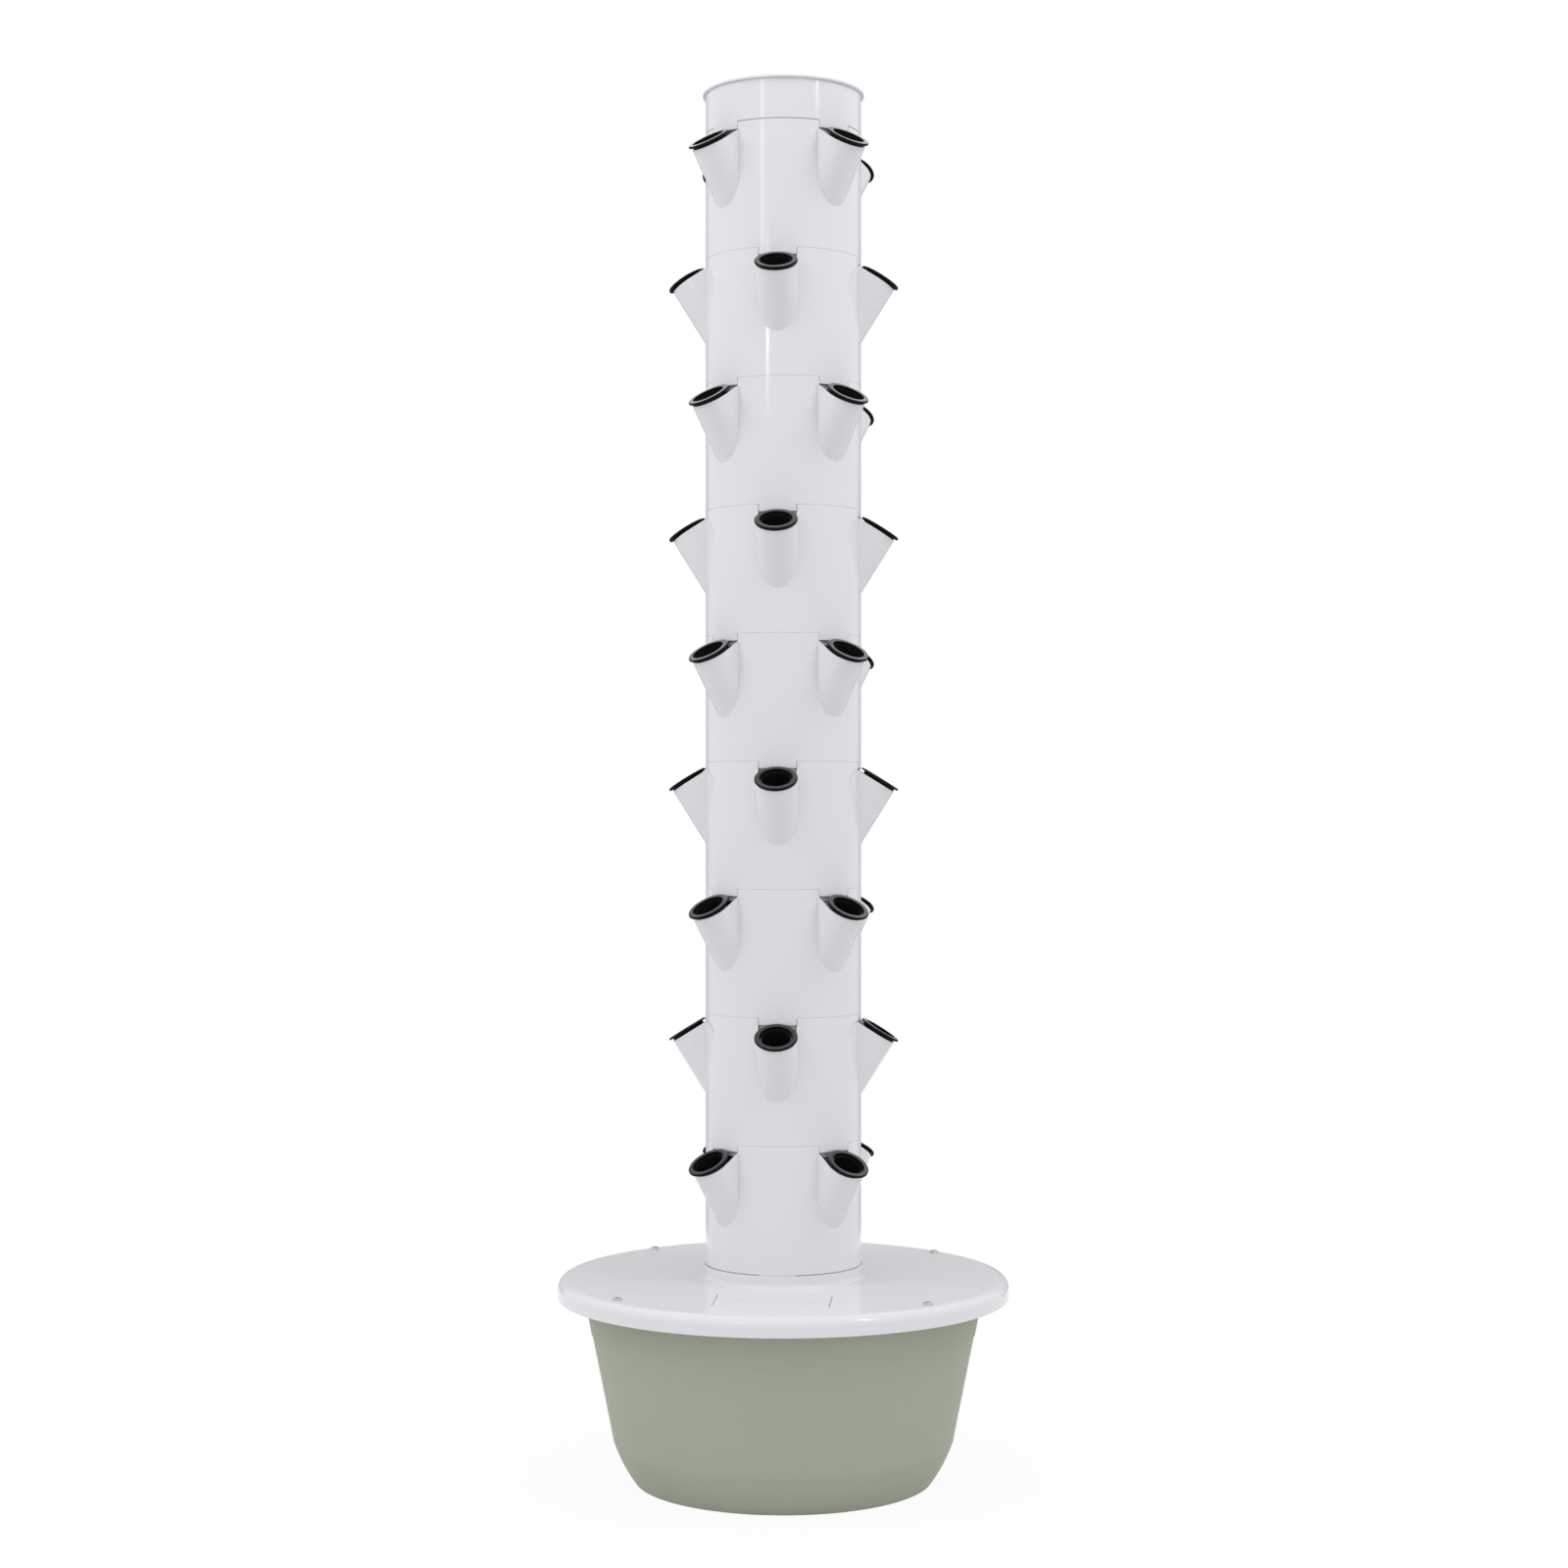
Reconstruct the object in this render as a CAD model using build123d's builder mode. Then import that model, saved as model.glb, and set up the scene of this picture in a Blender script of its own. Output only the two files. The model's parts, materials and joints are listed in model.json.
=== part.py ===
from build123d import *
from math import cos, radians, sin, tan
import os

# Hydroponic tower: a water basin with a screwed lid, and a keyed stack of tube segments on the
# lid's collar. Every segment has slanted planting pockets, each with a slotted net cup.
# Millimetres, +Z up, front towards -Y, origin on the floor under the tower's axis.

# Tower tube and its segments
tube_radius = 80.0
tube_wall = 3.0
segment_count = 9
segment_height = 128.7
pockets_per_segment = 4
spigot_length = 12.0
spigot_wall = 2.1
spigot_root_height = 5.0
spigot_clearance = 0.3
tongue_height = 7.0
tongue_clearance = 0.45
seam_chamfer = 0.4
shadow_gap_height = 0.8
shadow_gap_depth = 1.5

# Net cup
cup_flange_radius = 21.6
cup_flange_thickness = 2.2
cup_flange_chamfer = 0.7
cup_mouth_radius = 16.7
cup_shoulder_radius = 17.9
cup_shoulder_height = 2.6
cup_base_radius = 12.4
cup_depth = 44.0
cup_wall = 1.4
cup_slot_count = 8
cup_slot_width = 2.8
cup_slot_height = 29.0
cup_hub_radius = 5.5

# Planting pocket: a U-shaped channel, tilted outwards
pocket_tilt = 32.0
pocket_half_width = 19.4
pocket_wall = 1.9
pocket_seat_land = 1.2
notch_depth = 9.5
cup_wall_gap = 0.7
cup_body_clearance = 0.7

# Top cap
cap_height = 43.2
cap_lip_radius = 83.0
cap_lip_height = 2.6
cap_top_thickness = 2.6
cap_lip_edge_radius = 1.0
cap_rim_width = 4.0
cap_rim_depth = 1.2

# Water basin
basin_rim_radius = 222.0
basin_rim_width = 15.0
basin_rim_thickness = 4.0
basin_base_radius = 153.0
basin_bulge_width = 21.6
basin_bulge_mid_width = 12.2
basin_bulge_mid_height = 19.4
basin_bulge_height = 41.0
basin_band_share = 0.70
basin_band_depth = 53.0
basin_ledge_width = 1.0
basin_ledge_height = 1.4
basin_wall = 3.4
basin_floor_thickness = 6.0
basin_foot_width = 15.0
basin_foot_recess_depth = 2.5
boss_radius = 6.0
boss_depth = 15.0

# Basin lid
lid_seat_height = 204.0
lid_thickness = 3.0
lid_lip_height = 19.5
lid_lip_edge_radius = 0.8
lid_edge_radius = 9.5
lid_lip_wall = 3.0
lid_guide_depth = 8.0
lid_guide_wall = 3.0
lid_guide_clearance = 0.6
collar_step = 1.7
collar_height = 13.5
collar_fillet = 5.0
drain_plate_thickness = 3.0
drain_hole_radius = 7.0
drain_hole_count = 12
drain_circle_radius = 55.0
drain_inner_hole_count = 6
drain_inner_circle_radius = 31.0
hub_radius = 15.0
hub_height = 12.0

# Lid screws
screw_count = 4
screw_inset = 7.5
screw_radius = 2.4
screw_hole_clearance = 0.25
screw_length = 16.0
screw_head_radius = 4.6
screw_head_height = 2.6
screw_head_edge_radius = 2.0
screw_slot_length = 5.0
screw_slot_width = 1.2
screw_slot_depth = 1.1

# Fill hatch in the lid
hatch_width = 113.0
hatch_inset = 59.5
hatch_collar_gap = 24.3
hatch_gap = 0.6
hatch_edge_chamfer = 0.5
hatch_barrel_radius = 3.5
hatch_ledge_width = 4.0
hatch_ledge_thickness = 3.0
hatch_frame_wall = 3.0
hatch_frame_depth = 10.0
hatch_pin_radius = 1.5
hatch_pin_clearance = 0.1
hatch_pin_hold_length = 2.4
hatch_rib_height = 3.0
hatch_rib_width = 2.4
hatch_rib_spacing = 26.0

# Riser pipe, coupling and distributor
riser_radius = 10.0
riser_wall = 2.0
riser_clearance = 0.2
coupling_wall = 3.0
coupling_length = 60.0
coupling_stop_height = 4.0
tray_edge_gap = 8.6
tray_wall = 2.0
tray_depth = 15.0
tray_rise_height = 8.0
tray_socket_wall = 2.6
tray_socket_length = 18.0
tray_lip_width = 1.6
tray_hole_radius = 2.2
tray_hole_count = 16
tray_hole_inset = 10.0
tray_inner_hole_count = 8
tray_inner_circle_radius = 34.0

# Pump
pump_length = 66.0
pump_depth = 48.0
pump_height = 50.0
pump_corner_radius = 7.0
pump_edge_chamfer = 2.0
pump_clearance_below = 9.0
pump_neck_radius = 12.0
pump_neck_height = 4.0
pump_spout_radius = 7.8
pump_spout_bore_radius = 5.0
pump_spout_height = 16.0
pump_chamber_radius = 15.0
pump_chamber_depth = 21.0
pump_axis_offset = 22.0
impeller_radius = 13.0
impeller_blades = 6
impeller_blade_thickness = 1.6
impeller_blade_depth = 9.0
impeller_hub_radius = 4.0
impeller_shaft_radius = 1.6
impeller_shaft_clearance = 0.06
impeller_shaft_length = 22.0
impeller_end_gap = 2.0
strainer_width = 46.0
strainer_height = 40.0
strainer_depth = 11.0
strainer_wall = 2.0
strainer_slot_count = 7
strainer_slot_width = 2.6
strainer_slot_length = 30.0
foot_radius = 9.0
foot_hollow_radius = 6.8
foot_hollow_height = 1.5
foot_edge_height = 1.1
foot_neck_radius = 3.6
foot_stud_radius = 2.4
foot_stud_length = 4.0
foot_stud_clearance = 0.2
foot_inset = 12.0

# Cable inlet
grommet_inset = 63.5
grommet_bore_radius = 3.6
grommet_body_radius = 7.0
grommet_flange_radius = 10.0
grommet_flange_thickness = 2.0
grommet_clearance = 0.2

# Worked out from the sizes above
tube_bore_radius = tube_radius - tube_wall
spigot_radius = tube_bore_radius - spigot_clearance
pocket_step = 360 / pockets_per_segment
stack_turn = pocket_step / 2
tilt_sin = sin(radians(pocket_tilt))
tilt_cos = cos(radians(pocket_tilt))
seat_radius = (
    tube_radius + cup_wall_gap + cup_flange_radius * tilt_cos - cup_shoulder_height * tilt_sin
)
seat_drop = notch_depth + (seat_radius - tube_radius) * tan(radians(pocket_tilt))
pocket_tip = cup_shoulder_radius - pocket_seat_land
pocket_centre = pocket_tip - pocket_half_width
pocket_back = -(seat_radius - tube_bore_radius) * tilt_cos - seat_drop * tilt_sin - 3 * tube_wall
pocket_length = (seat_radius + (pocket_tip + pocket_wall) * tilt_cos - tube_bore_radius) / tilt_sin
cup_top_radius = pocket_tip - cup_body_clearance
basin_mouth_radius = basin_rim_radius - basin_rim_width
basin_mouth_bore_radius = basin_mouth_radius - basin_wall
basin_foot_radius = basin_base_radius - basin_foot_width
basin_bulge_mid_radius = basin_base_radius + basin_bulge_mid_width
basin_bulge_radius = basin_base_radius + basin_bulge_width
basin_band_radius = basin_bulge_radius + basin_band_share * (basin_mouth_radius - basin_bulge_radius)
basin_band_height = lid_seat_height - basin_band_depth
basin_ledge_radius = basin_band_radius - basin_ledge_width
basin_ledge_bottom = basin_band_height - basin_ledge_height
lid_radius = basin_rim_radius + lid_edge_radius
lid_top = lid_seat_height + lid_thickness
lid_lip_bottom = lid_top - lid_lip_height
collar_radius = tube_radius + collar_step
screw_circle_radius = basin_rim_radius - screw_inset
hatch_front_distance = lid_radius - hatch_inset
hatch_hinge_distance = collar_radius + collar_fillet + hatch_collar_gap
grommet_distance = lid_radius - grommet_inset
tower_base = lid_top + collar_height
tower_top = tower_base + segment_count * segment_height
total_height = tower_top + cap_height
pump_bottom = basin_floor_thickness + pump_clearance_below
pump_top = pump_bottom + pump_height
pump_axis_height = pump_bottom + pump_axis_offset
riser_bottom = pump_top + pump_neck_height
riser_bore_radius = riser_radius - riser_wall
riser_joint_height = (tower_base + tower_top) / 2
tray_floor = tower_top + tray_rise_height
tray_radius = spigot_radius - spigot_wall - tray_edge_gap
tray_hole_circle_radius = tray_radius - tray_hole_inset
hinge_height = lid_top - hatch_barrel_radius

os.makedirs("parts", exist_ok=True)


def save(piece, name):
    """Label a finished piece and write it as its own file."""
    piece.part.label = name
    export_step(piece.part, f"parts/{name}.step")


def save_copy(piece, location, name):
    """Write a copy of a repeated piece at its own place."""
    with BuildPart() as copy:
        with Locations(location):
            add(piece.part)
    save(copy, name)


def pocket_plane(angle, segment_top):
    """Plane of a pocket's mouth: x runs outwards and down the mouth, z along the pocket's axis."""
    out_x = cos(radians(angle))
    out_y = sin(radians(angle))
    return Plane(
        origin=(seat_radius * out_x, seat_radius * out_y, segment_top - seat_drop),
        x_dir=(tilt_cos * out_x, tilt_cos * out_y, -tilt_sin),
        z_dir=(tilt_sin * out_x, tilt_sin * out_y, tilt_cos),
    )


def pocket_outline(plane, margin):
    """U-shaped section of a pocket, grown by a margin all round."""
    half_width = pocket_half_width + margin
    with BuildSketch(plane) as outline:
        with Locations((pocket_centre, 0)):
            Circle(half_width)
        with Locations(((pocket_back + pocket_centre) / 2, 0)):
            Rectangle(pocket_centre - pocket_back, 2 * half_width)
    return outline.sketch


def tongue_outline(height, start_angle):
    """Keys under a segment or cap, which fill the notches of the segment below."""
    with BuildSketch(Plane.XY.offset(height)) as outline:
        with PolarLocations(tube_radius, pockets_per_segment, start_angle=start_angle):
            Rectangle(4 * tube_wall, 2 * (pocket_half_width - tongue_clearance))
        Circle(tube_radius, mode=Mode.INTERSECT)
        Circle(spigot_radius - spigot_wall / 2, mode=Mode.SUBTRACT)
    return outline.sketch


def ring_outline(height, outer, inner):
    """Flat ring around the tower's axis."""
    with BuildSketch(Plane.XY.offset(height)) as outline:
        Circle(outer)
        Circle(inner, mode=Mode.SUBTRACT)
    return outline.sketch


def disc_outline(height, radius):
    """Flat disc around the tower's axis."""
    with BuildSketch(Plane.XY.offset(height)) as outline:
        Circle(radius)
    return outline.sketch


# Tower segment, made once with its top edge at Z = 0 and its pockets on the diagonals
with BuildPart() as segment:
    extrude(disc_outline(-segment_height, tube_radius), amount=segment_height)
    chamfer(segment.edges().filter_by(GeomType.CIRCLE), seam_chamfer)
    for pocket in range(pockets_per_segment):
        mouth = pocket_plane(stack_turn + pocket * pocket_step, 0)
        extrude(pocket_outline(mouth, pocket_wall), amount=-pocket_length)
    bore_length = segment_height + seat_drop
    extrude(disc_outline(-segment_height, tube_bore_radius), amount=bore_length, mode=Mode.SUBTRACT)
    for pocket in range(pockets_per_segment):
        mouth = pocket_plane(stack_turn + pocket * pocket_step, 0)
        channel = pocket_outline(mouth, 0)
        extrude(channel, amount=-pocket_length, mode=Mode.SUBTRACT)
        extrude(channel, amount=seat_drop, mode=Mode.SUBTRACT)
    extrude(
        ring_outline(-segment_height, tube_radius - tube_wall / 2, spigot_radius - spigot_wall),
        amount=spigot_root_height,
    )
    extrude(
        ring_outline(-segment_height, spigot_radius, spigot_radius - spigot_wall),
        amount=-spigot_length,
    )
    extrude(
        tongue_outline(seam_chamfer - segment_height, 0),
        amount=-(tongue_height + seam_chamfer),
    )

for layer in range(1, segment_count + 1):
    top = tower_base + (segment_count - layer + 1) * segment_height
    turn = 0 if layer % 2 else stack_turn
    save_copy(segment, Location((0, 0, top), (0, 0, turn)), f"tower_segment_{layer}")

# Net cup, made once on the Z axis with its seat at Z = 0
flange_bottom = cup_shoulder_height
flange_top = flange_bottom + cup_flange_thickness
with BuildPart() as cup:
    with BuildSketch(Plane.XZ) as cup_profile:
        with BuildLine():
            Polyline(
                (0, -cup_depth),
                (cup_base_radius, -cup_depth),
                (cup_top_radius, 0),
                (cup_shoulder_radius, 0),
                (cup_shoulder_radius, flange_bottom),
                (cup_flange_radius, flange_bottom),
                (cup_flange_radius, flange_top - cup_flange_chamfer),
                (cup_flange_radius - cup_flange_chamfer, flange_top),
                (cup_mouth_radius, flange_top),
                (cup_mouth_radius, cup_wall),
                (cup_top_radius - cup_wall, cup_wall),
                (cup_base_radius - cup_wall, cup_wall - cup_depth),
                (0, cup_wall - cup_depth),
                close=True,
            )
        make_face()
    revolve(axis=Axis.Z)
    slot_reach = cup_top_radius + cup_wall - cup_hub_radius
    with Locations((0, 0, -cup_depth)):
        with PolarLocations(cup_hub_radius + slot_reach / 2, cup_slot_count):
            Box(slot_reach, cup_slot_width, 2 * cup_slot_height, mode=Mode.SUBTRACT)

sides = {
    0: ("front_right", "back_right", "back_left", "front_left"),
    1: ("front", "right", "back", "left"),
}
for layer in range(1, segment_count + 1):
    top = tower_base + (segment_count - layer + 1) * segment_height
    first = -stack_turn if layer % 2 else -pocket_step
    for pocket, side in enumerate(sides[(layer + 1) % 2]):
        mouth = pocket_plane(first + pocket * pocket_step, top)
        save_copy(cup, mouth.location, f"net_cup_{layer}_{side}")

# Top cap
with BuildPart() as top_cap:
    extrude(disc_outline(tower_top, tube_radius), amount=cap_height)
    extrude(
        ring_outline(tower_top, tube_radius, tube_radius - shadow_gap_depth),
        amount=shadow_gap_height,
        mode=Mode.SUBTRACT,
    )
    extrude(disc_outline(total_height, cap_lip_radius), amount=-cap_lip_height)
    lip_edges = top_cap.edges().filter_by(GeomType.CIRCLE).group_by(SortBy.RADIUS)[-1]
    fillet(lip_edges, cap_lip_edge_radius)
    extrude(
        disc_outline(total_height, cap_lip_radius - cap_rim_width),
        amount=-cap_rim_depth,
        mode=Mode.SUBTRACT,
    )
    extrude(
        disc_outline(tower_top, tube_bore_radius),
        amount=cap_height - cap_rim_depth - cap_top_thickness,
        mode=Mode.SUBTRACT,
    )
    extrude(
        ring_outline(tower_top, tube_radius - tube_wall / 2, spigot_radius - spigot_wall),
        amount=spigot_root_height,
    )
    extrude(
        ring_outline(tower_top, spigot_radius, spigot_radius - spigot_wall),
        amount=-spigot_length,
    )
    extrude(
        tongue_outline(tower_top + shadow_gap_height, stack_turn),
        amount=-(tongue_height + shadow_gap_height),
    )
save(top_cap, "top_cap")

# Water basin
rim_bottom = lid_seat_height - basin_rim_thickness
with BuildPart() as basin:
    with BuildSketch(Plane.XZ) as basin_profile:
        with BuildLine():
            Polyline(
                (0, basin_foot_recess_depth),
                (basin_foot_radius, basin_foot_recess_depth),
                (basin_foot_radius, 0),
                (basin_base_radius, 0),
            )
            ThreePointArc(
                (basin_base_radius, 0),
                (basin_bulge_mid_radius, basin_bulge_mid_height),
                (basin_bulge_radius, basin_bulge_height),
            )
            Polyline(
                (basin_bulge_radius, basin_bulge_height),
                (basin_ledge_radius, basin_ledge_bottom),
                (basin_band_radius, basin_band_height),
                (basin_mouth_radius, rim_bottom),
                (basin_rim_radius, rim_bottom),
                (basin_rim_radius, lid_seat_height),
                (basin_mouth_bore_radius, lid_seat_height),
                (basin_mouth_bore_radius, rim_bottom),
                (basin_band_radius - basin_wall, basin_band_height),
                (basin_ledge_radius - basin_wall, basin_ledge_bottom),
                (basin_bulge_radius - basin_wall, basin_bulge_height),
            )
            ThreePointArc(
                (basin_bulge_radius - basin_wall, basin_bulge_height),
                (basin_bulge_mid_radius - basin_wall, basin_bulge_mid_height + basin_wall),
                (basin_base_radius - basin_wall, basin_floor_thickness),
            )
            Polyline(
                (basin_base_radius - basin_wall, basin_floor_thickness),
                (0, basin_floor_thickness),
                (0, basin_foot_recess_depth),
            )
        make_face()
    revolve(axis=Axis.Z)
    with BuildSketch(Plane.XY.offset(lid_seat_height)) as bosses:
        with PolarLocations(screw_circle_radius, screw_count, start_angle=stack_turn):
            Circle(boss_radius)
    extrude(amount=-boss_depth)
    with BuildSketch(Plane.XY.offset(lid_seat_height)) as pilot_holes:
        with PolarLocations(screw_circle_radius, screw_count, start_angle=stack_turn):
            Circle(screw_radius + screw_hole_clearance)
    extrude(amount=-(boss_depth - basin_wall), mode=Mode.SUBTRACT)
save(basin, "reservoir_basin")

# Basin lid: rolled edge, collar for the tower, drain plate, hatch opening and its frame
edge_start = lid_radius - lid_edge_radius
opening_width = hatch_width + 2 * hatch_gap
opening_front = hatch_front_distance + hatch_gap
opening_back = hatch_hinge_distance - hatch_barrel_radius - hatch_gap
opening_depth = opening_front - opening_back
opening_middle = -(opening_front + opening_back) / 2
ledge_top = lid_top - lid_thickness
collar_edge = tower_base - shadow_gap_height
wall_slope = (basin_mouth_radius - basin_band_radius) / (rim_bottom - basin_band_height)
guide_radius = basin_mouth_bore_radius - lid_guide_depth * wall_slope - lid_guide_clearance
with BuildPart() as lid:
    with BuildSketch(Plane.XZ) as lid_profile:
        with BuildLine():
            Polyline(
                (tube_bore_radius, lid_seat_height),
                (guide_radius - lid_guide_wall, lid_seat_height),
                (guide_radius - lid_guide_wall, lid_seat_height - lid_guide_depth),
                (guide_radius, lid_seat_height - lid_guide_depth),
                (guide_radius, lid_seat_height),
                (edge_start, lid_seat_height),
            )
            RadiusArc(
                (edge_start, lid_seat_height),
                (lid_radius - lid_lip_wall, lid_top - lid_edge_radius),
                lid_edge_radius - lid_lip_wall,
            )
            Polyline(
                (lid_radius - lid_lip_wall, lid_top - lid_edge_radius),
                (lid_radius - lid_lip_wall, lid_lip_bottom),
                (lid_radius - lid_lip_edge_radius, lid_lip_bottom),
            )
            RadiusArc(
                (lid_radius - lid_lip_edge_radius, lid_lip_bottom),
                (lid_radius, lid_lip_bottom + lid_lip_edge_radius),
                -lid_lip_edge_radius,
            )
            Line(
                (lid_radius, lid_lip_bottom + lid_lip_edge_radius),
                (lid_radius, lid_top - lid_edge_radius),
            )
            RadiusArc((lid_radius, lid_top - lid_edge_radius), (edge_start, lid_top), -lid_edge_radius)
            Line((edge_start, lid_top), (collar_radius + collar_fillet, lid_top))
            RadiusArc(
                (collar_radius + collar_fillet, lid_top),
                (collar_radius, lid_top + collar_fillet),
                collar_fillet,
            )
            Polyline(
                (collar_radius, lid_top + collar_fillet),
                (collar_radius, collar_edge - seam_chamfer),
                (collar_radius - seam_chamfer, collar_edge),
                (tube_radius - shadow_gap_depth, collar_edge),
                (tube_radius - shadow_gap_depth, tower_base),
                (tube_bore_radius, tower_base),
                (tube_bore_radius, lid_seat_height),
            )
        make_face()
    revolve(axis=Axis.Z)
    extrude(disc_outline(lid_seat_height, collar_radius), amount=drain_plate_thickness)
    extrude(disc_outline(lid_seat_height, hub_radius), amount=hub_height)
    with BuildSketch(Plane.XY.offset(lid_seat_height)) as drain_holes:
        with PolarLocations(drain_circle_radius, drain_hole_count):
            Circle(drain_hole_radius)
        with PolarLocations(drain_inner_circle_radius, drain_inner_hole_count):
            Circle(drain_hole_radius)
        Circle(riser_radius + riser_clearance)
    extrude(amount=hub_height, mode=Mode.SUBTRACT)
    with BuildSketch(Plane.XY.offset(tower_base)) as collar_notches:
        with PolarLocations(tube_radius, pockets_per_segment, start_angle=0):
            Rectangle(4 * tube_wall, 2 * pocket_half_width)
        Circle(tube_radius + tongue_clearance, mode=Mode.INTERSECT)
    extrude(amount=-(tongue_height + tongue_clearance), mode=Mode.SUBTRACT)
    with BuildSketch(Plane.XY.offset(lid_seat_height)) as hatch_frame:
        with Locations((0, opening_middle)):
            Rectangle(opening_width + 2 * hatch_frame_wall, opening_depth + 2 * hatch_frame_wall)
            Rectangle(opening_width, opening_depth, mode=Mode.SUBTRACT)
    extrude(amount=-hatch_frame_depth)
    with BuildSketch(Plane.XY.offset(lid_seat_height - hatch_frame_depth)) as hatch_opening:
        with Locations((0, opening_middle)):
            Rectangle(opening_width, opening_depth)
    extrude(amount=hatch_frame_depth + 2 * lid_thickness, mode=Mode.SUBTRACT)
    opening_edges = lid.edges().filter_by(GeomType.LINE).filter_by_position(Axis.Z, lid_top, lid_top)
    chamfer(opening_edges, hatch_edge_chamfer)
    ledge_depth = opening_depth - 2 * hatch_barrel_radius - 3 * hatch_gap
    with BuildSketch(Plane.XY.offset(ledge_top)) as hatch_ledge:
        with Locations((0, -opening_front)):
            Rectangle(opening_width, ledge_depth, align=(Align.CENTER, Align.MIN))
            Rectangle(
                opening_width - 2 * hatch_ledge_width,
                ledge_depth + hatch_ledge_width,
                align=(Align.CENTER, Align.MIN),
                mode=Mode.SUBTRACT,
            )
        with Locations((0, -opening_front)):
            Rectangle(opening_width, hatch_ledge_width, align=(Align.CENTER, Align.MIN))
    extrude(amount=-hatch_ledge_thickness)
    with BuildSketch(Plane.YZ.offset(-opening_width / 2 - hatch_pin_hold_length)) as pin_seats:
        with Locations((-hatch_hinge_distance, hinge_height)):
            Circle(hatch_pin_radius + hatch_pin_clearance / 2)
    extrude(amount=opening_width + 2 * hatch_pin_hold_length, mode=Mode.SUBTRACT)
    with BuildSketch(Plane.XY.offset(lid_seat_height)) as lid_holes:
        with PolarLocations(screw_circle_radius, screw_count, start_angle=stack_turn):
            Circle(screw_radius + screw_hole_clearance)
        with Locations((0, grommet_distance)):
            Circle(grommet_body_radius + grommet_clearance)
    extrude(amount=lid_thickness, mode=Mode.SUBTRACT)
save(lid, "basin_lid")

# Lid screws, one group
with BuildPart() as screws:
    with BuildSketch(Plane.XY.offset(lid_top)) as heads:
        with PolarLocations(screw_circle_radius, screw_count, start_angle=stack_turn):
            Circle(screw_head_radius)
    extrude(amount=screw_head_height)
    top_edges = screws.edges().group_by(Axis.Z)[-1]
    fillet(top_edges, screw_head_edge_radius)
    with BuildSketch(Plane.XY.offset(lid_top)) as shanks:
        with PolarLocations(screw_circle_radius, screw_count, start_angle=stack_turn):
            Circle(screw_radius)
    extrude(amount=-(screw_length - lid_thickness))
    with BuildSketch(Plane.XY.offset(lid_top + screw_head_height)) as crosses:
        with PolarLocations(screw_circle_radius, screw_count, start_angle=stack_turn):
            Rectangle(screw_slot_length, screw_slot_width)
            Rectangle(screw_slot_width, screw_slot_length)
    extrude(amount=-screw_slot_depth, mode=Mode.SUBTRACT)
save(screws, "lid_screws")

# Fill hatch, with the barrel of its hinge along the back edge and stiffening ribs below
panel_depth = hatch_front_distance - hatch_hinge_distance
with BuildPart() as hatch:
    with BuildSketch(Plane.XY.offset(lid_top)) as hatch_panel:
        with Locations((0, -hatch_front_distance)):
            Rectangle(hatch_width, panel_depth, align=(Align.CENTER, Align.MIN))
    extrude(amount=-lid_thickness)
    free_edges = hatch.edges().group_by(Axis.Z)[-1].sort_by(Axis.Y)[:-1]
    chamfer(free_edges, hatch_edge_chamfer)
    barrel_plane = Plane.YZ.offset(-hatch_width / 2)
    with BuildSketch(barrel_plane) as barrel:
        with Locations((-hatch_hinge_distance, hinge_height)):
            Circle(hatch_barrel_radius)
    extrude(amount=hatch_width)
    rib_length = panel_depth - hatch_barrel_radius - hatch_ledge_width - 2 * hatch_gap
    with BuildSketch(Plane.XY.offset(ledge_top)) as hatch_ribs:
        with Locations((0, -hatch_hinge_distance - hatch_barrel_radius / 2 - rib_length / 2)):
            with GridLocations(hatch_rib_spacing, 0, 3, 1):
                Rectangle(hatch_rib_width, rib_length)
    extrude(amount=-hatch_rib_height)
    with BuildSketch(barrel_plane) as hinge_bore:
        with Locations((-hatch_hinge_distance, hinge_height)):
            Circle(hatch_pin_radius + hatch_pin_clearance)
    extrude(amount=hatch_width, mode=Mode.SUBTRACT)
save(hatch, "fill_hatch")

with BuildPart() as hinge_pin:
    with BuildSketch(Plane.YZ.offset(-opening_width / 2 - hatch_pin_hold_length)) as pin_section:
        with Locations((-hatch_hinge_distance, hinge_height)):
            Circle(hatch_pin_radius)
    extrude(amount=opening_width + 2 * hatch_pin_hold_length)
save(hinge_pin, "hatch_hinge_pin")

# Riser pipe in two lengths, and the coupling between them
lower_top = riser_joint_height - coupling_stop_height / 2
upper_bottom = riser_joint_height + coupling_stop_height / 2
with BuildPart() as riser_lower:
    lower_length = lower_top - riser_bottom
    extrude(ring_outline(riser_bottom, riser_radius, riser_bore_radius), amount=lower_length)
save(riser_lower, "riser_pipe_lower")

with BuildPart() as riser_upper:
    upper_length = tray_floor - upper_bottom
    extrude(ring_outline(upper_bottom, riser_radius, riser_bore_radius), amount=upper_length)
save(riser_upper, "riser_pipe_upper")

sleeve_bore_radius = riser_radius + riser_clearance
sleeve_radius = sleeve_bore_radius + coupling_wall
with BuildPart() as coupling:
    sleeve_bottom = riser_joint_height - coupling_length / 2
    extrude(ring_outline(sleeve_bottom, sleeve_radius, sleeve_bore_radius), amount=coupling_length)
    extrude(ring_outline(lower_top, sleeve_radius, riser_bore_radius), amount=coupling_stop_height)
save(coupling, "riser_coupling")

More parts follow.
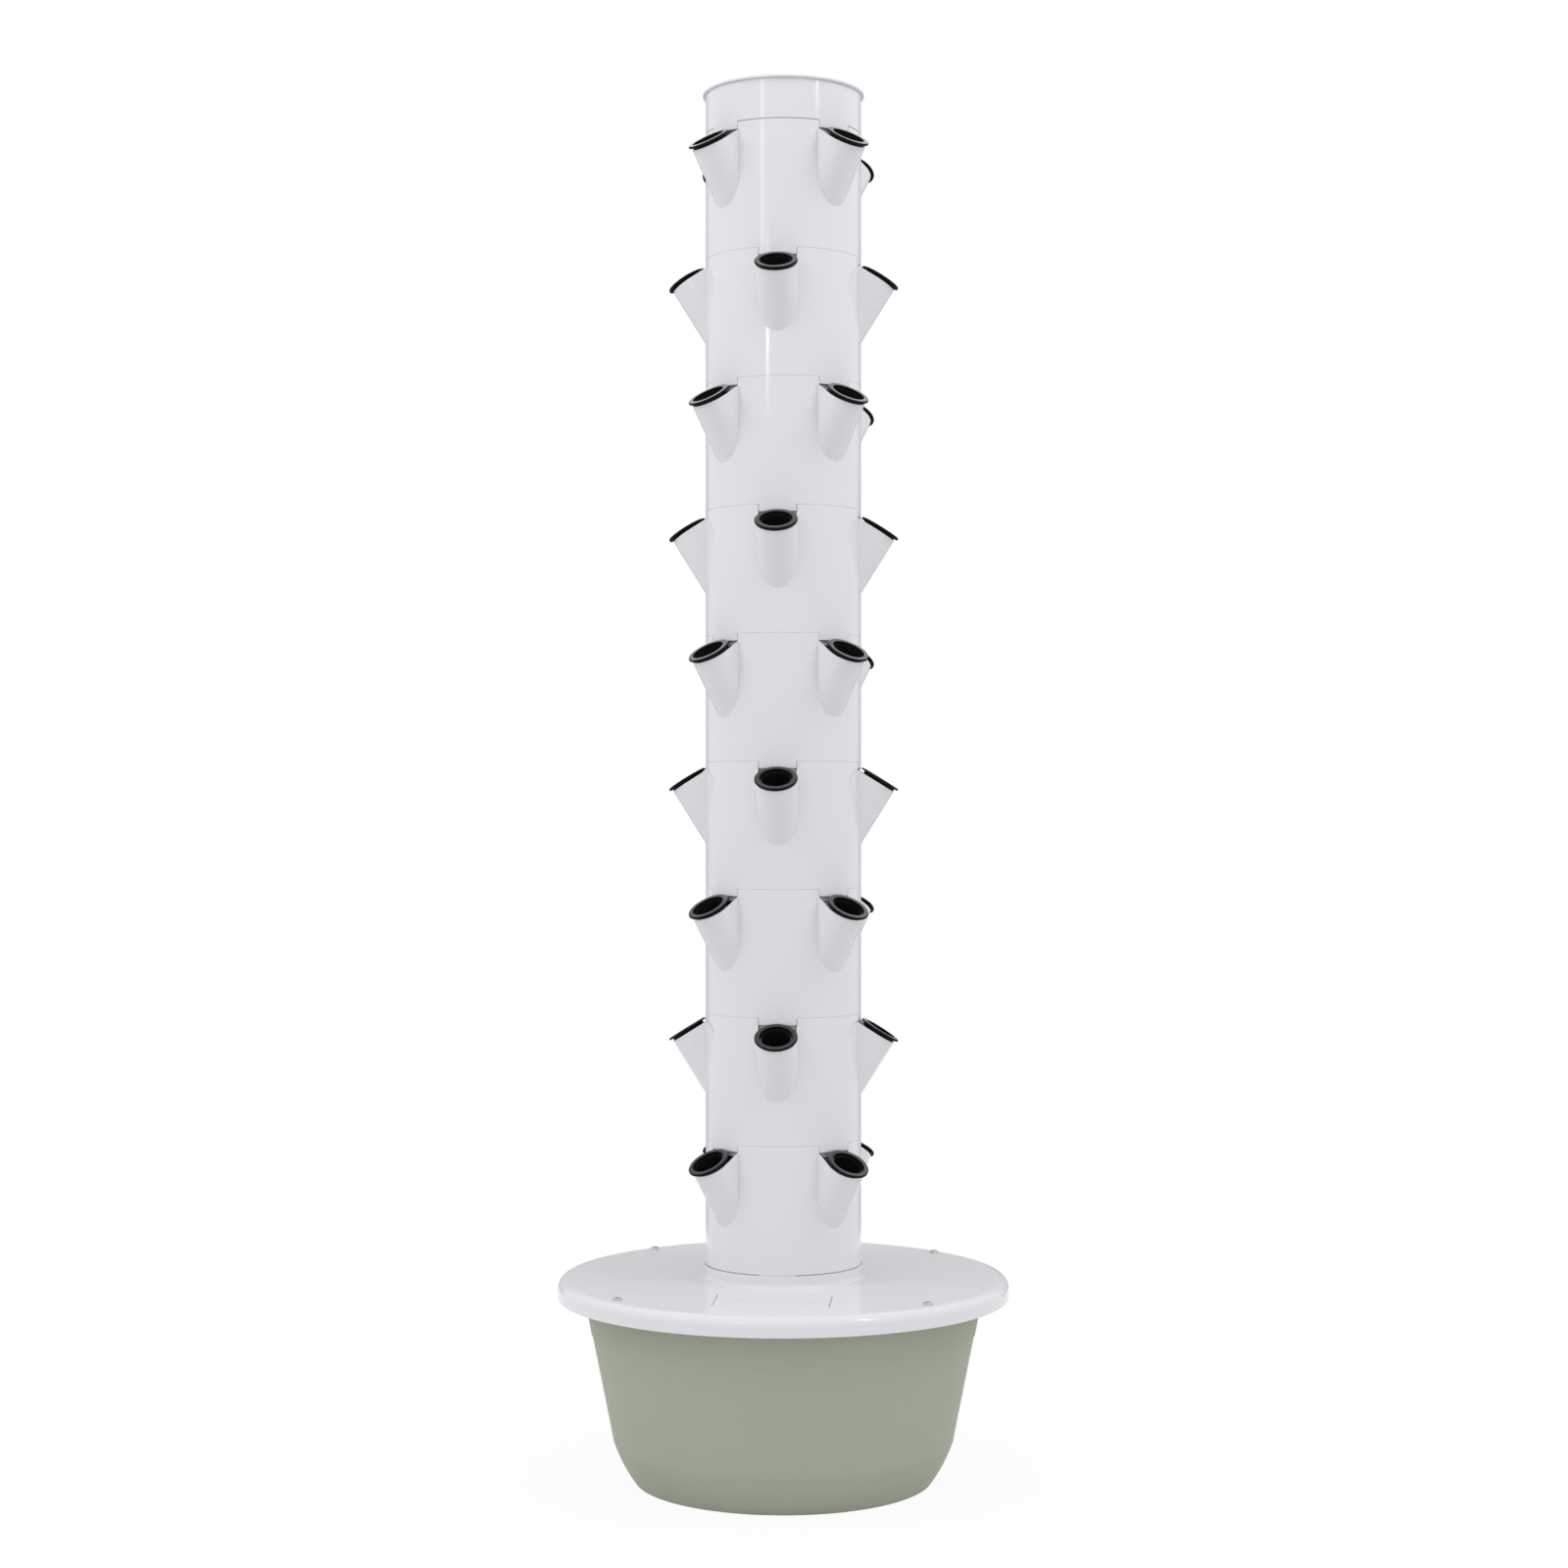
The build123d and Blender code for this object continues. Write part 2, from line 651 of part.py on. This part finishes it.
# Distributor tray on the riser's top end
with BuildPart() as tray:
    extrude(disc_outline(tray_floor, tray_radius), amount=tray_wall)
    extrude(ring_outline(tray_floor, tray_radius, tray_radius - tray_wall), amount=tray_depth)
    extrude(disc_outline(tray_floor, sleeve_bore_radius + tray_socket_wall), amount=-tray_socket_length)
    extrude(
        disc_outline(tray_floor, sleeve_bore_radius),
        amount=-tray_socket_length,
        mode=Mode.SUBTRACT,
    )
    extrude(disc_outline(tray_floor, riser_radius - tray_lip_width), amount=tray_wall, mode=Mode.SUBTRACT)
    with BuildSketch(Plane.XY.offset(tray_floor)) as drip_holes:
        with PolarLocations(tray_hole_circle_radius, tray_hole_count):
            Circle(tray_hole_radius)
        with PolarLocations(tray_inner_circle_radius, tray_inner_hole_count):
            Circle(tray_hole_radius)
    extrude(amount=tray_wall, mode=Mode.SUBTRACT)
save(tray, "distributor_tray")

# Pump body with its spout, impeller chamber and foot sockets
chamber_plane = Plane(
    origin=(0, -pump_depth / 2, pump_axis_height), x_dir=(1, 0, 0), z_dir=(0, -1, 0)
)
foot_x = pump_length / 2 - foot_inset
foot_y = pump_depth / 2 - foot_inset
with BuildPart() as pump:
    with BuildSketch(Plane.XY.offset(pump_bottom)) as pump_section:
        RectangleRounded(pump_length, pump_depth, pump_corner_radius)
    extrude(amount=pump_height)
    chamfer(pump.faces().sort_by(Axis.Z)[-1].edges(), pump_edge_chamfer)
    extrude(disc_outline(pump_top, pump_neck_radius), amount=pump_neck_height)
    extrude(disc_outline(riser_bottom, pump_spout_radius), amount=pump_spout_height)
    with BuildSketch(chamber_plane) as chamber:
        Circle(pump_chamber_radius)
    extrude(amount=-pump_chamber_depth, mode=Mode.SUBTRACT)
    with BuildSketch(chamber_plane.offset(-pump_chamber_depth)) as shaft_bore:
        Circle(impeller_shaft_radius + impeller_shaft_clearance)
    extrude(amount=-impeller_shaft_length / 2, mode=Mode.SUBTRACT)
    spout_top = riser_bottom + pump_spout_height
    extrude(
        disc_outline(spout_top, pump_spout_bore_radius),
        amount=-(spout_top - pump_axis_height - pump_chamber_radius / 2),
        mode=Mode.SUBTRACT,
    )
    with BuildSketch(Plane.XY.offset(pump_bottom)) as foot_sockets:
        with GridLocations(2 * foot_x, 2 * foot_y, 2, 2):
            Circle(foot_stud_radius + foot_stud_clearance)
    extrude(amount=foot_stud_length + foot_stud_clearance, mode=Mode.SUBTRACT)
save(pump, "pump_body")

# Impeller on its shaft
with BuildPart() as impeller:
    hub_plane = chamber_plane.offset(-pump_chamber_depth + impeller_end_gap)
    with BuildSketch(hub_plane) as impeller_hub:
        Circle(impeller_hub_radius)
    extrude(amount=impeller_blade_depth)
    blade_length = impeller_radius - impeller_hub_radius / 2
    with BuildSketch(hub_plane) as blades:
        with PolarLocations(impeller_radius - blade_length / 2, impeller_blades):
            Rectangle(blade_length, impeller_blade_thickness)
    extrude(amount=impeller_blade_depth)
    with BuildSketch(hub_plane) as shaft:
        Circle(impeller_shaft_radius)
    extrude(amount=-impeller_shaft_length / 2)
save(impeller, "pump_impeller")

# Strainer over the impeller chamber
with BuildPart() as strainer:
    with BuildSketch(chamber_plane) as strainer_outside:
        RectangleRounded(strainer_width, strainer_height, pump_corner_radius)
    extrude(amount=strainer_depth)
    fillet(strainer.faces().sort_by(Axis.Y)[0].edges(), strainer_wall)
    with BuildSketch(chamber_plane) as strainer_inside:
        RectangleRounded(
            strainer_width - 2 * strainer_wall,
            strainer_height - 2 * strainer_wall,
            pump_corner_radius - strainer_wall,
        )
    extrude(amount=strainer_depth - strainer_wall, mode=Mode.SUBTRACT)
    slot_pitch = (strainer_width - 4 * strainer_wall) / strainer_slot_count
    with BuildSketch(chamber_plane) as intake_slots:
        with GridLocations(slot_pitch, 0, strainer_slot_count, 1):
            SlotOverall(strainer_slot_length, strainer_slot_width, rotation=90)
    extrude(amount=strainer_depth, mode=Mode.SUBTRACT)
save(strainer, "pump_strainer")

# Suction feet, one group
with BuildPart() as foot:
    with BuildSketch(Plane.XZ) as foot_profile:
        with BuildLine():
            Polyline(
                (0, foot_hollow_height),
                (foot_hollow_radius, 0),
                (foot_radius, 0),
                (foot_radius, foot_edge_height),
                (foot_neck_radius, pump_clearance_below / 2),
                (foot_neck_radius, pump_clearance_below),
                (foot_stud_radius, pump_clearance_below),
                (foot_stud_radius, pump_clearance_below + foot_stud_length),
                (0, pump_clearance_below + foot_stud_length),
                close=True,
            )
        make_face()
    revolve(axis=Axis.Z)

with BuildPart() as feet:
    with Locations((0, 0, basin_floor_thickness)):
        with GridLocations(2 * foot_x, 2 * foot_y, 2, 2):
            add(foot.part)
save(feet, "pump_feet")

# Grommet for the pump's lead, seated in the lid behind the tower
with BuildPart() as grommet:
    with BuildSketch(Plane.XY.offset(lid_top)) as grommet_flange:
        with Locations((0, grommet_distance)):
            Circle(grommet_flange_radius)
    extrude(amount=grommet_flange_thickness)
    fillet(grommet.edges().group_by(Axis.Z)[-1], grommet_flange_thickness / 2)
    with BuildSketch(Plane.XY.offset(lid_top)) as grommet_body:
        with Locations((0, grommet_distance)):
            Circle(grommet_body_radius)
    extrude(amount=-lid_thickness)
    with BuildSketch(Plane.XY.offset(lid_seat_height)) as grommet_lock:
        with Locations((0, grommet_distance)):
            Circle(grommet_flange_radius - grommet_clearance)
    extrude(amount=-grommet_flange_thickness)
    with BuildSketch(Plane.XY.offset(lid_top + grommet_flange_thickness)) as lead_hole:
        with Locations((0, grommet_distance)):
            Circle(grommet_bore_radius)
    extrude(amount=-(lid_thickness + 2 * grommet_flange_thickness), mode=Mode.SUBTRACT)
save(grommet, "cable_grommet")
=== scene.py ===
import json
import math

import bpy
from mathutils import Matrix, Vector

# Hydroponic tower: finishes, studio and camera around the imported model.
# Metres, +Z up, front towards -Y, origin on the floor under the tower's axis.

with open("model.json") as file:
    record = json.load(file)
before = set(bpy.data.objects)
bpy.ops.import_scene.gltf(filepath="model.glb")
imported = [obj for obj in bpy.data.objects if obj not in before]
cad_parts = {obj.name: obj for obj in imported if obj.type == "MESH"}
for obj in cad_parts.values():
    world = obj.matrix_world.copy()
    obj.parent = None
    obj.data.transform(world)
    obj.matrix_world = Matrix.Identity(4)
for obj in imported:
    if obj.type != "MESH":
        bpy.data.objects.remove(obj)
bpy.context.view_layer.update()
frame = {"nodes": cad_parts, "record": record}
nodes = frame["nodes"]

# Camera: level, a little to the right of the front
camera_distance = 2.78
camera_azimuth = math.radians(4.3)
camera_height = 0.695
camera_lens = 61.97
camera_sensor = 36.0
picture_size = 1600
axis_pixel = 799.4
horizon_pixel = 817.8

# World: even light all round
world_level = 0.82
world_tint = (0.985, 0.99, 1.0)

# Floor: it shows the shadow near the basin, and throws back more light there than far away
floor_size = 30.0
floor_near_radius = 0.15
floor_clear_radius = 0.6
floor_shade_share = 0.08
floor_seen = 0.92
floor_bounce_near = 0.80
floor_bounce_far = 0.68
floor_bounce_radius = 2.0

# Grey wall behind the tower
wall_radius = 1.6
wall_height = 1.85
wall_level = 0.50
wall_half_angle = math.radians(40)
wall_sides = 32

# Broad lights
box_size = (1.0, 1.2)
box_aim_height = 1.0

# Net cups: how steeply a face has to look up to count as rim, and the gloss there; the rim's colour
# is also painted paler as a highlight
rim_slope_from = 0.60
rim_slope_full = 0.80
cup_roughness = 0.62
rim_roughness = 0.25
rim_coat_roughness = 0.15
cup_specular = 0.12
cup_cloud_scale = 60.0
cup_edge = 0.0005
cup_grain = (2200.0, 0.00001)

# Screws
steel_cloud_scale = 420.0
steel_roughness = (0.22, 0.36)
steel_edge = 0.0004
steel_grain = (2600.0, 0.00002)

# Moulded plastic: fineness of the clouds in its colour and gloss, in cycles per metre
cloud_scale = 9.0
gloss_scale = 38.0

# Noise: the part of its range that is used, and the detail of clouds, gloss and relief
noise_low = 0.3
noise_high = 0.7
cloud_detail = 4.0
gloss_detail = 5.0
relief_detail = 2.0
edge_samples = 6

# Colours, linear
white_main = (0.80, 0.787, 0.818)
white_cool = (0.78, 0.766, 0.80)
sage_main = (0.412, 0.450, 0.352)
sage_dark = (0.396, 0.434, 0.338)
black_main = (0.003, 0.003, 0.0033)
black_grey = (0.006, 0.006, 0.0064)
# Up-facing cup rims: painted highlight, a paler black than the body
rim_painted_highlight_main = (0.006, 0.006, 0.0066)
rim_painted_highlight_grey = (0.011, 0.011, 0.0118)
steel_main = (0.62, 0.62, 0.63)
steel_dark = (0.50, 0.50, 0.515)
pipe_main = (0.70, 0.71, 0.72)
pipe_dark = (0.64, 0.655, 0.67)
pump_main = (0.020, 0.022, 0.026)
pump_dark = (0.012, 0.013, 0.016)
impeller_main = (0.30, 0.33, 0.36)
impeller_dark = (0.24, 0.27, 0.30)
rubber_main = (0.022, 0.022, 0.022)
rubber_grey = (0.040, 0.040, 0.039)


def start_material(name):
    """New node material, with the coordinates of the piece's own frame."""
    material = bpy.data.materials.new(name)
    material.use_nodes = True
    tree = material.node_tree
    place = tree.nodes.new("ShaderNodeTexCoord").outputs["Object"]
    return material, tree, tree.nodes["Principled BSDF"], place


def noise(tree, place, scale, detail):
    """Grey noise of a given fineness, in cycles per metre."""
    node = tree.nodes.new("ShaderNodeTexNoise")
    node.inputs["Scale"].default_value = scale
    node.inputs["Detail"].default_value = detail
    tree.links.new(place, node.inputs["Vector"])
    return node.outputs["Fac"]


def colour_between(tree, factor, first, second):
    """Colour that wanders between two values."""
    node = tree.nodes.new("ShaderNodeMix")
    node.data_type = "RGBA"
    node.inputs["A"].default_value = (*first, 1)
    node.inputs["B"].default_value = (*second, 1)
    tree.links.new(factor, node.inputs["Factor"])
    return node.outputs["Result"]


def spread(tree, factor, low, high):
    """Noise stretched to a range of values."""
    node = tree.nodes.new("ShaderNodeMapRange")
    node.inputs["From Min"].default_value = noise_low
    node.inputs["From Max"].default_value = noise_high
    node.inputs["To Min"].default_value = low
    node.inputs["To Max"].default_value = high
    tree.links.new(factor, node.inputs["Value"])
    return node.outputs["Result"]


def rounded_normal(tree, radius):
    """Normal that rolls over sharp moulded edges."""
    node = tree.nodes.new("ShaderNodeBevel")
    node.samples = edge_samples
    node.inputs["Radius"].default_value = radius
    return node.outputs["Normal"]


def bump(tree, height, depth, normal):
    """Relief of a given depth, in metres, over a normal."""
    node = tree.nodes.new("ShaderNodeBump")
    node.inputs["Distance"].default_value = depth
    node.inputs["Strength"].default_value = 1.0
    tree.links.new(height, node.inputs["Height"])
    tree.links.new(normal, node.inputs["Normal"])
    return node.outputs["Normal"]


def surface_normal(tree, place, edge, layers):
    """Rounded edges under layers of relief, each with its fineness and its depth in metres."""
    normal = rounded_normal(tree, edge)
    for scale, depth in layers:
        normal = bump(tree, noise(tree, place, scale, relief_detail), depth, normal)
    return normal


def moulded(name, main, second, rough, edge, waves, grain, specular=0.5):
    """Moulded plastic: clouded colour, uneven gloss, rounded edges, slow waves and a fine grain."""
    material, tree, shader, place = start_material(name)
    cloud = noise(tree, place, cloud_scale, cloud_detail)
    tree.links.new(colour_between(tree, cloud, main, second), shader.inputs["Base Color"])
    gloss = noise(tree, place, gloss_scale, gloss_detail)
    tree.links.new(spread(tree, gloss, *rough), shader.inputs["Roughness"])
    shader.inputs["Specular IOR Level"].default_value = specular
    normal = surface_normal(tree, place, edge, (waves, grain))
    tree.links.new(normal, shader.inputs["Normal"])
    return material


def cup_plastic(name):
    """Matt black plastic of the net cups, smoother and glossier on the faces that look up, with a
    painted highlight there: their colour is paler.
    """
    material, tree, shader, place = start_material(name)
    facing = tree.nodes.new("ShaderNodeSeparateXYZ")
    tree.links.new(tree.nodes["Texture Coordinate"].outputs["Normal"], facing.inputs[0])
    rim = tree.nodes.new("ShaderNodeMapRange")
    rim.inputs["From Min"].default_value = rim_slope_from
    rim.inputs["From Max"].default_value = rim_slope_full
    tree.links.new(facing.outputs["Z"], rim.inputs["Value"])
    cloud = noise(tree, place, cup_cloud_scale, cloud_detail)
    body_colour = colour_between(tree, cloud, black_main, black_grey)
    # Painted highlight: the faces that look up are coloured paler than the body
    rim_painted_highlight_colour = colour_between(tree, cloud, rim_painted_highlight_main, rim_painted_highlight_grey)
    mix = tree.nodes.new("ShaderNodeMix")
    mix.data_type = "RGBA"
    tree.links.new(rim.outputs["Result"], mix.inputs["Factor"])
    tree.links.new(body_colour, mix.inputs["A"])
    tree.links.new(rim_painted_highlight_colour, mix.inputs["B"])
    tree.links.new(mix.outputs["Result"], shader.inputs["Base Color"])
    gloss = tree.nodes.new("ShaderNodeMapRange")
    gloss.inputs["To Min"].default_value = cup_roughness
    gloss.inputs["To Max"].default_value = rim_roughness
    tree.links.new(rim.outputs["Result"], gloss.inputs["Value"])
    tree.links.new(gloss.outputs["Result"], shader.inputs["Roughness"])
    shader.inputs["Specular IOR Level"].default_value = cup_specular
    tree.links.new(rim.outputs["Result"], shader.inputs["Coat Weight"])
    shader.inputs["Coat Roughness"].default_value = rim_coat_roughness
    normal = surface_normal(tree, place, cup_edge, [cup_grain])
    tree.links.new(normal, shader.inputs["Normal"])
    return material


def stainless_steel(name):
    """Plain screw: bright metal, a little cloudy and finely pitted."""
    material, tree, shader, place = start_material(name)
    cloud = noise(tree, place, steel_cloud_scale, cloud_detail)
    tree.links.new(colour_between(tree, cloud, steel_main, steel_dark), shader.inputs["Base Color"])
    tree.links.new(spread(tree, cloud, *steel_roughness), shader.inputs["Roughness"])
    shader.inputs["Metallic"].default_value = 1.0
    normal = surface_normal(tree, place, steel_edge, [steel_grain])
    tree.links.new(normal, shader.inputs["Normal"])
    return material


white_plastic = moulded(
    "white_plastic", white_main, white_cool, rough=(0.10, 0.14), edge=0.0006,
    waves=(16.0, 0.00035), grain=(1500.0, 0.000004),
)
sage_plastic = moulded(
    "sage_plastic", sage_main, sage_dark, rough=(0.56, 0.66), edge=0.0012,
    waves=(11.0, 0.0005), grain=(1300.0, 0.00002), specular=0.35,
)
black_plastic = cup_plastic("black_plastic")
pipe_plastic = moulded(
    "pipe_plastic", pipe_main, pipe_dark, rough=(0.28, 0.38), edge=0.0004,
    waves=(40.0, 0.0001), grain=(1800.0, 0.000008),
)
pump_plastic = moulded(
    "pump_plastic", pump_main, pump_dark, rough=(0.38, 0.52), edge=0.0006,
    waves=(50.0, 0.0001), grain=(1900.0, 0.00002),
)
impeller_plastic = moulded(
    "impeller_plastic", impeller_main, impeller_dark, rough=(0.32, 0.44), edge=0.0003,
    waves=(70.0, 0.00005), grain=(2400.0, 0.00001),
)
rubber = moulded(
    "rubber", rubber_main, rubber_grey, rough=(0.60, 0.78), edge=0.0004,
    waves=(90.0, 0.0001), grain=(2600.0, 0.00003), specular=0.35,
)
screw_steel = stainless_steel("screw_steel")

finishes = {
    "white_plastic": white_plastic,
    "sage_plastic": sage_plastic,
    "black_plastic": black_plastic,
    "screw_steel": screw_steel,
    "pipe_plastic": pipe_plastic,
    "pump_plastic": pump_plastic,
    "impeller_plastic": impeller_plastic,
    "rubber": rubber,
}

for subpart in frame["record"]["subparts"]:
    piece = nodes[subpart["node"]]
    piece.data.materials.clear()
    piece.data.materials.append(finishes[subpart["material_slot"]])


def seen_directly(tree):
    """1 for camera, mirror and see-through rays, 0 for the rays that carry light."""
    path = tree.nodes.new("ShaderNodeLightPath")
    first = tree.nodes.new("ShaderNodeMath")
    first.operation = "MAXIMUM"
    tree.links.new(path.outputs["Is Camera Ray"], first.inputs[0])
    tree.links.new(path.outputs["Is Glossy Ray"], first.inputs[1])
    second = tree.nodes.new("ShaderNodeMath")
    second.operation = "MAXIMUM"
    tree.links.new(first.outputs["Value"], second.inputs[0])
    tree.links.new(path.outputs["Is Transmission Ray"], second.inputs[1])
    return second.outputs["Value"]


def make_world():
    """Even studio light, seen as a white background."""
    world = bpy.data.worlds.new("studio")
    world.use_nodes = True
    tree = world.node_tree
    tree.nodes.clear()
    light = tree.nodes.new("ShaderNodeBackground")
    light.inputs["Color"].default_value = (*world_tint, 1)
    light.inputs["Strength"].default_value = world_level
    backdrop = tree.nodes.new("ShaderNodeBackground")
    backdrop.inputs["Strength"].default_value = 1.0
    backdrop.inputs["Color"].default_value = (1, 1, 1, 1)
    mix = tree.nodes.new("ShaderNodeMixShader")
    tree.links.new(seen_directly(tree), mix.inputs[0])
    tree.links.new(light.outputs[0], mix.inputs[1])
    tree.links.new(backdrop.outputs[0], mix.inputs[2])
    output = tree.nodes.new("ShaderNodeOutputWorld")
    tree.links.new(mix.outputs[0], output.inputs["Surface"])
    bpy.context.scene.world = world


def make_floor():
    """Pale floor: it takes the object's shadow near the base and runs out to plain white."""
    material = bpy.data.materials.new("floor")
    material.use_nodes = True
    tree = material.node_tree
    tree.nodes.clear()
    place = tree.nodes.new("ShaderNodeTexCoord").outputs["Object"]
    distance = tree.nodes.new("ShaderNodeVectorMath")
    distance.operation = "LENGTH"
    tree.links.new(place, distance.inputs[0])
    fade = tree.nodes.new("ShaderNodeMapRange")
    fade.interpolation_type = "SMOOTHSTEP"
    fade.inputs["From Min"].default_value = floor_near_radius
    fade.inputs["From Max"].default_value = floor_clear_radius
    fade.inputs["To Min"].default_value = 1 - floor_shade_share
    fade.inputs["To Max"].default_value = 1.0
    tree.links.new(distance.outputs["Value"], fade.inputs["Value"])
    share = tree.nodes.new("ShaderNodeMath")
    share.operation = "MULTIPLY"
    tree.links.new(fade.outputs["Result"], share.inputs[0])
    tree.links.new(seen_directly(tree), share.inputs[1])
    bounce = tree.nodes.new("ShaderNodeMapRange")
    bounce.inputs["From Min"].default_value = floor_clear_radius
    bounce.inputs["From Max"].default_value = floor_bounce_radius
    bounce.inputs["To Min"].default_value = floor_bounce_near
    bounce.inputs["To Max"].default_value = floor_bounce_far
    tree.links.new(distance.outputs["Value"], bounce.inputs["Value"])
    tone = tree.nodes.new("ShaderNodeMapRange")
    tone.inputs["To Max"].default_value = floor_seen
    tree.links.new(seen_directly(tree), tone.inputs["Value"])
    tree.links.new(bounce.outputs["Result"], tone.inputs["To Min"])
    shade = tree.nodes.new("ShaderNodeBsdfDiffuse")
    tree.links.new(tone.outputs["Result"], shade.inputs["Color"])
    white = tree.nodes.new("ShaderNodeEmission")
    white.inputs["Strength"].default_value = 1.0
    mix = tree.nodes.new("ShaderNodeMixShader")
    tree.links.new(share.outputs["Value"], mix.inputs[0])
    tree.links.new(shade.outputs[0], mix.inputs[1])
    tree.links.new(white.outputs[0], mix.inputs[2])
    output = tree.nodes.new("ShaderNodeOutputMaterial")
    tree.links.new(mix.outputs[0], output.inputs["Surface"])
    half = floor_size / 2
    mesh = bpy.data.meshes.new("floor")
    corners = [(-half, -half, 0), (half, -half, 0), (half, half, 0), (-half, half, 0)]
    mesh.from_pydata(corners, [], [(0, 1, 2, 3)])
    mesh.materials.append(material)
    floor = bpy.data.objects.new("floor", mesh)
    bpy.context.scene.collection.objects.link(floor)


def make_wall():
    """Low grey wall behind the tower, which shows only in the gloss of the plastic."""
    material = bpy.data.materials.new("wall")
    material.use_nodes = True
    tree = material.node_tree
    tree.nodes.clear()
    grey = tree.nodes.new("ShaderNodeEmission")
    grey.inputs["Strength"].default_value = wall_level
    output = tree.nodes.new("ShaderNodeOutputMaterial")
    tree.links.new(grey.outputs[0], output.inputs["Surface"])
    points = []
    faces = []
    for side in range(wall_sides + 1):
        turn = camera_azimuth + wall_half_angle * (2 * side / wall_sides - 1)
        x, y = -wall_radius * math.sin(turn), wall_radius * math.cos(turn)
        points += [(x, y, 0), (x, y, wall_height)]
    for side in range(wall_sides):
        first = 2 * side
        faces.append((first, first + 1, first + 3, first + 2))
    mesh = bpy.data.meshes.new("wall")
    mesh.from_pydata(points, [], faces)
    mesh.materials.append(material)
    wall = bpy.data.objects.new("wall", mesh)
    wall.visible_camera = False
    wall.visible_diffuse = False
    wall.visible_shadow = False
    bpy.context.scene.collection.objects.link(wall)


def soft_box(name, azimuth, distance, height, size, power, aim_height, in_gloss):
    """Rectangular soft light turned to the tower's axis, so many degrees round from the camera."""
    light = bpy.data.lights.new(name, "AREA")
    light.shape = "RECTANGLE"
    light.size, light.size_y = size
    light.energy = power
    lamp = bpy.data.objects.new(name, light)
    turn = camera_azimuth + math.radians(azimuth)
    lamp.location = (distance * math.sin(turn), -distance * math.cos(turn), height)
    aim = Vector((0, 0, aim_height)) - lamp.location
    lamp.rotation_euler = aim.to_track_quat("-Z", "Y").to_euler()
    lamp.visible_camera = False
    lamp.visible_glossy = in_gloss
    bpy.context.scene.collection.objects.link(lamp)


def make_lights():
    """Two broad boxes from the left and right, and three slim ones that streak the glossy tube."""
    soft_box(
        "left_box", azimuth=-65, distance=1.9, height=2.2, size=box_size, power=10.5,
        aim_height=box_aim_height, in_gloss=False,
    )
    soft_box(
        "right_box", azimuth=70, distance=1.8, height=2.8, size=box_size, power=11.5,
        aim_height=box_aim_height, in_gloss=False,
    )
    soft_box(
        "left_strip", azimuth=-30.4, distance=2.1, height=1.92, size=(0.16, 0.60), power=1.0,
        aim_height=1.92, in_gloss=True,
    )
    soft_box(
        "left_glint", azimuth=-23, distance=2.1, height=1.545, size=(0.05, 0.19), power=0.9,
        aim_height=1.545, in_gloss=True,
    )
    soft_box(
        "right_strip", azimuth=50, distance=2.1, height=2.52, size=(0.08, 1.15), power=6,
        aim_height=2.52, in_gloss=True,
    )


def make_camera():
    """Level camera at the picture's viewing angle."""
    camera = bpy.data.cameras.new("camera")
    camera.lens = camera_lens
    camera.sensor_width = camera_sensor
    camera.shift_x = (picture_size / 2 - axis_pixel) / picture_size
    camera.shift_y = (horizon_pixel - picture_size / 2) / picture_size
    eye = bpy.data.objects.new("camera", camera)
    eye.location = (
        camera_distance * math.sin(camera_azimuth),
        -camera_distance * math.cos(camera_azimuth),
        camera_height,
    )
    eye.rotation_euler = (math.radians(90), 0, camera_azimuth)
    bpy.context.scene.collection.objects.link(eye)
    bpy.context.scene.camera = eye


make_world()
make_floor()
make_wall()
make_lights()
make_camera()
bpy.context.scene.view_settings.view_transform = "Standard"
